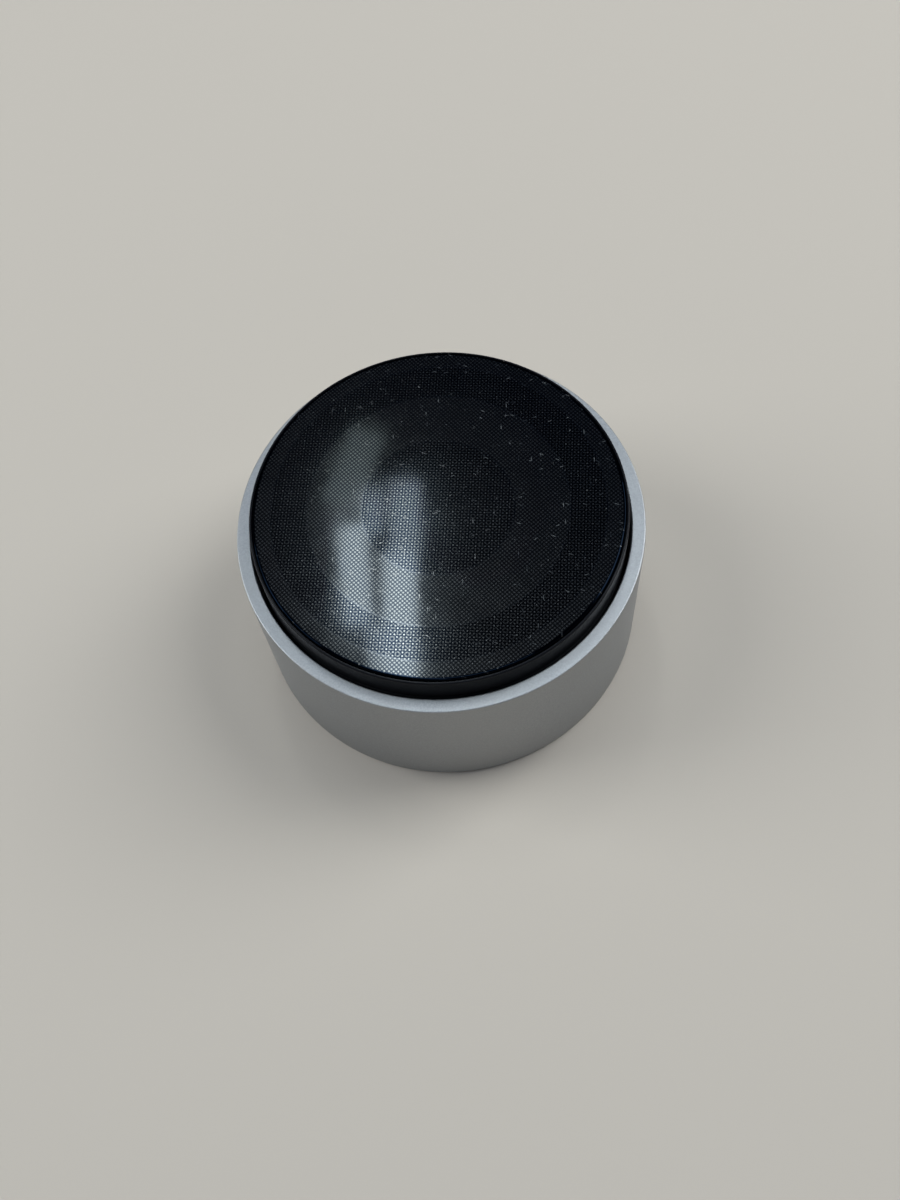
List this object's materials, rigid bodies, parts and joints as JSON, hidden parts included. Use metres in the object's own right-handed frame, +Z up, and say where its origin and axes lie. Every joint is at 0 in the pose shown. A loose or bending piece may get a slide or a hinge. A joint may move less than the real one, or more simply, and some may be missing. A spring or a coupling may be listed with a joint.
{
  "type": "dial controller",
  "caption": "Desk dial controller: a straight-sided aluminium knob that turns and presses on a round black base with a glossy grip pad, lying pad up.",
  "frame": {"origin": "centre of the dial's flat outer face, which lies on the table in the picture", "axes": "+Z up along the turning axis, from the dial's flat face to the grip pad; +X along the cells, to the right in the picture; the picture's camera is on the -Y side"},
  "size_m": [0.059, 0.059, 0.03],
  "materials": {
    "dial_aluminium": "bead-blasted satin",
    "lid_plastic": "satin black",
    "pad_rubber": "glossy smoked rubber",
    "electrode_mesh": "printed conductive mesh",
    "chassis_plastic": "fine texture",
    "hub_plastic": "glass-filled",
    "code_plastic": "matt",
    "bearing_steel": "ground",
    "ball_steel": "polished",
    "cage_brass": "satin",
    "spindle_aluminium": "turned",
    "spring_steel": "drawn wire",
    "clip_steel": "phosphated",
    "screw_steel": "zinc plated",
    "board_green": "solder mask",
    "chip_black": "moulded",
    "shield_tin": "tinned",
    "switch_plastic": "moulded",
    "plunger_plastic": "moulded",
    "light_clear": "clear",
    "led_white": "cast",
    "button_grey": "satin",
    "haptic_can": "drawn",
    "haptic_mass": "sintered",
    "cell_wrap": "printed sleeve",
    "contact_nickel": "nickel plated",
    "disc_steel": "plain",
    "magnet_nickel": "nickel plated"
  },
  "bodies": {
    "base": {"chassis": "chassis_plastic", "guide_plate": "hub_plastic", "board_screws": "screw_steel", "main_board": "board_green", "press_switch": "switch_plastic", "encoder_sensor": "chip_black", "controller_chip": "chip_black", "radio_chip": "chip_black", "radio_shield": "shield_tin", "status_led": "led_white", "light_pipe": "light_clear", "pair_switch": "switch_plastic", "haptic_case": "haptic_can", "haptic_spring": "spring_steel", "battery_a": "cell_wrap", "battery_b": "cell_wrap", "bridge_contact": "contact_nickel", "positive_contact": "contact_nickel", "negative_contact": "contact_nickel", "striker_discs": "disc_steel", "press_spring": "spring_steel"},
    "carriage": {"spindle": "spindle_aluminium", "race_clip": "clip_steel", "stem_clip": "clip_steel", "inner_race": "bearing_steel", "switch_plunger": "plunger_plastic"},
    "dial": {"dial_shell": "dial_aluminium", "dial_hub": "hub_plastic", "hub_screws": "screw_steel", "code_ring": "code_plastic", "outer_race": "bearing_steel"},
    "ball_set": {"bearing_balls": "ball_steel", "bearing_cage": "cage_brass"},
    "pairing_button": {"pair_button": "button_grey"},
    "lid": {"base_cover": "lid_plastic", "cover_magnets": "magnet_nickel", "electrode_film": "electrode_mesh", "grip_pad": "pad_rubber"},
    "buzzer": {"haptic_weight": "haptic_mass"}
  },
  "joints": [
    {"name": "dial_press", "type": "slide", "parent": "base", "child": "carriage", "axis": [0, 0, 1], "range_m": [0, 0.0005], "stiffness_N_per_m": 3000, "springref_m": -0.0007, "deforming": ["press_spring"]},
    {"name": "dial_turn", "type": "hinge", "parent": "carriage", "child": "dial", "pos_m": [0, 0, 0], "axis": [0, 0, 1], "continuous": true},
    {"name": "ball_orbit", "type": "hinge", "parent": "carriage", "child": "ball_set", "pos_m": [0, 0, 0], "axis": [0, 0, 1], "continuous": true},
    {"name": "lid_lift", "type": "slide", "parent": "base", "child": "lid", "axis": [0, 0, 1], "range_m": [0, 0.035]},
    {"name": "pair_press", "type": "slide", "parent": "base", "child": "pairing_button", "axis": [0, 0, -1], "range_m": [0, 0.00035], "stiffness_N_per_m": 1500, "springref_m": -0.0008},
    {"name": "buzzer_shake", "type": "slide", "parent": "base", "child": "buzzer", "axis": [0, 0, 1], "range_m": [-0.00025, 0.00025], "stiffness_N_per_m": 400, "deforming": ["haptic_spring"]}
  ],
  "couplings": [
    {"joint": "ball_orbit", "follows": "dial_turn", "ratio": 0.54255}
  ]
}
